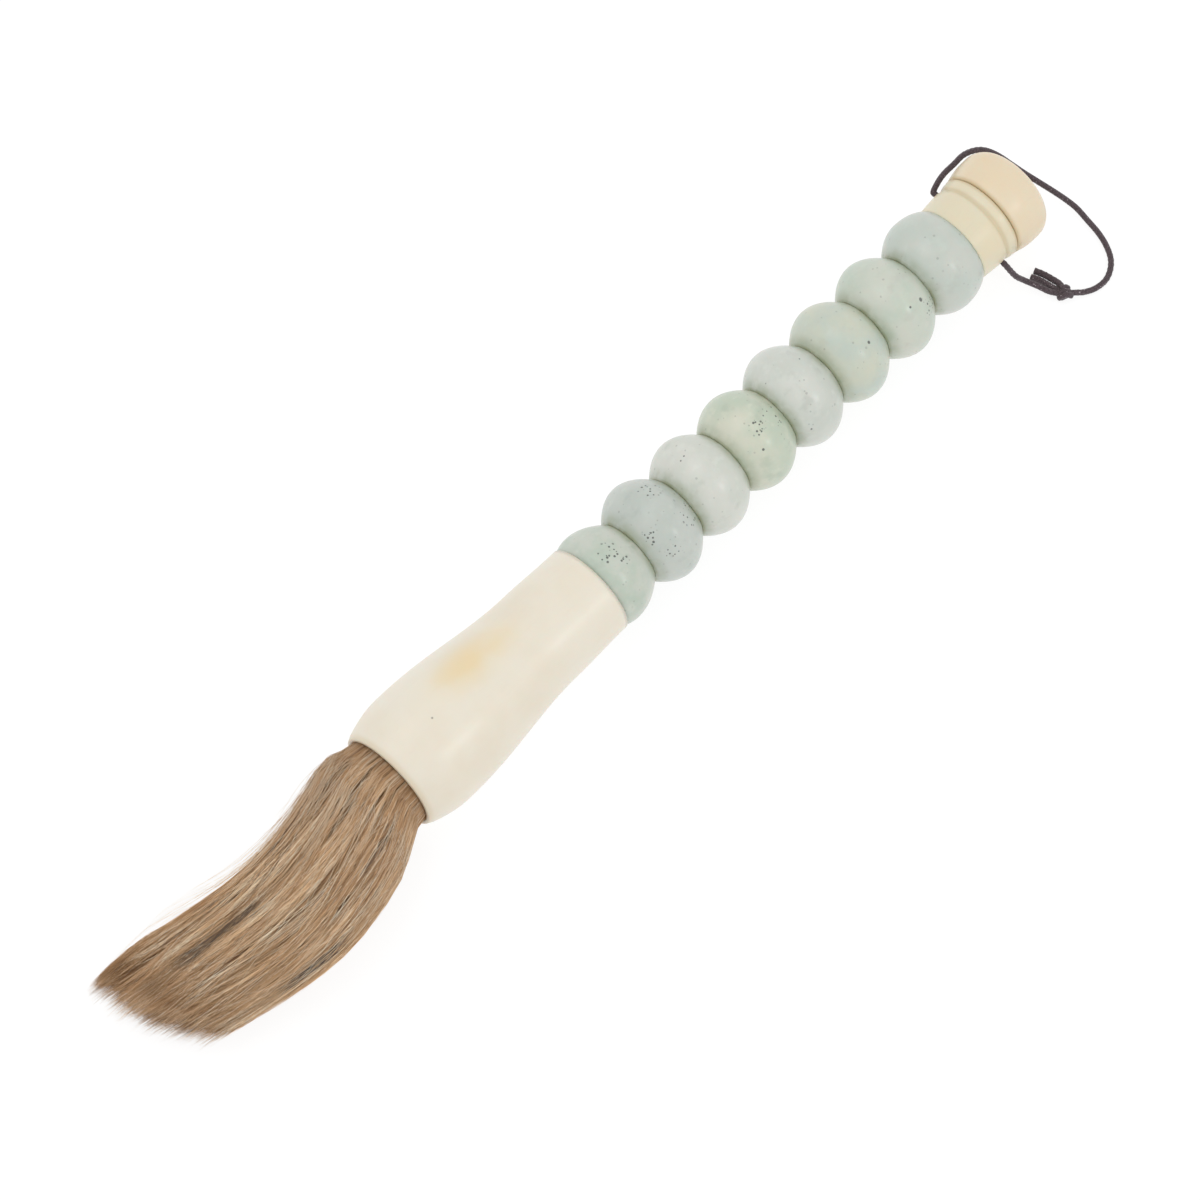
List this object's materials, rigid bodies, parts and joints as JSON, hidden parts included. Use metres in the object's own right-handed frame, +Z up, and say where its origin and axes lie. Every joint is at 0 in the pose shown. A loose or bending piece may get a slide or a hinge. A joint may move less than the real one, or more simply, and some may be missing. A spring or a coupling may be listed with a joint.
{
  "type": "calligraphy brush",
  "caption": "Large calligraphy brush lying down: hair tuft, bone ferrule, round stone beads on a dowel, grooved bone finial and a knotted hanging cord.",
  "frame": {"origin": "on the table, under the centre of the bounding box of the brush without its cord", "axes": "+X along the handle from the hair to the finial, +Y to the side of the cord bore's upper mouth, +Z up from the table"},
  "size_m": [0.3981, 0.0596, 0.0409],
  "materials": {
    "bone": "satin",
    "stone_1": "satin",
    "stone_2": "satin",
    "stone_3": "satin",
    "stone_4": "satin",
    "stone_5": "satin",
    "stone_6": "satin",
    "stone_7": "satin",
    "stone_8": "satin",
    "hair": "matte",
    "dark_hair": "matte",
    "wood": "matte",
    "thread": "matte",
    "resin": "gloss",
    "cord": "matte"
  },
  "bodies": {
    "handle": {"ferrule": "bone", "ferrule_plug": "wood", "core_rod": "wood", "bead_1": "stone_1", "bead_2": "stone_2", "bead_3": "stone_3", "bead_4": "stone_4", "bead_5": "stone_5", "bead_6": "stone_6", "bead_7": "stone_7", "bead_8": "stone_8", "finial_collar": "bone", "finial_cap": "bone", "hair_root": "dark_hair", "root_binding": "thread", "resin_plug": "resin"},
    "tuft": {"hair_mantle": "hair", "hair_core": "dark_hair"},
    "cord_loop": {"cord_in_bore": "cord", "cord_long_side": "cord", "cord_short_side": "cord", "cord_end_1": "cord", "cord_end_2": "cord", "cord_knot": "cord"}
  },
  "joints": [
    {"name": "tuft_flex", "type": "hinge", "parent": "handle", "child": "tuft", "pos_m": [-0.09919, 0.00356, 0.02074], "axis": [0, 0, 1], "range_deg": [-30, 30], "stiffness_Nm_per_rad": 0.05},
    {"name": "loop_swing", "type": "hinge", "parent": "handle", "child": "cord_loop", "pos_m": [0.17058, 0.00356, 0.01663], "axis": [-0.0037, -0.9703, -0.2419], "range_deg": [0, 115]}
  ]
}
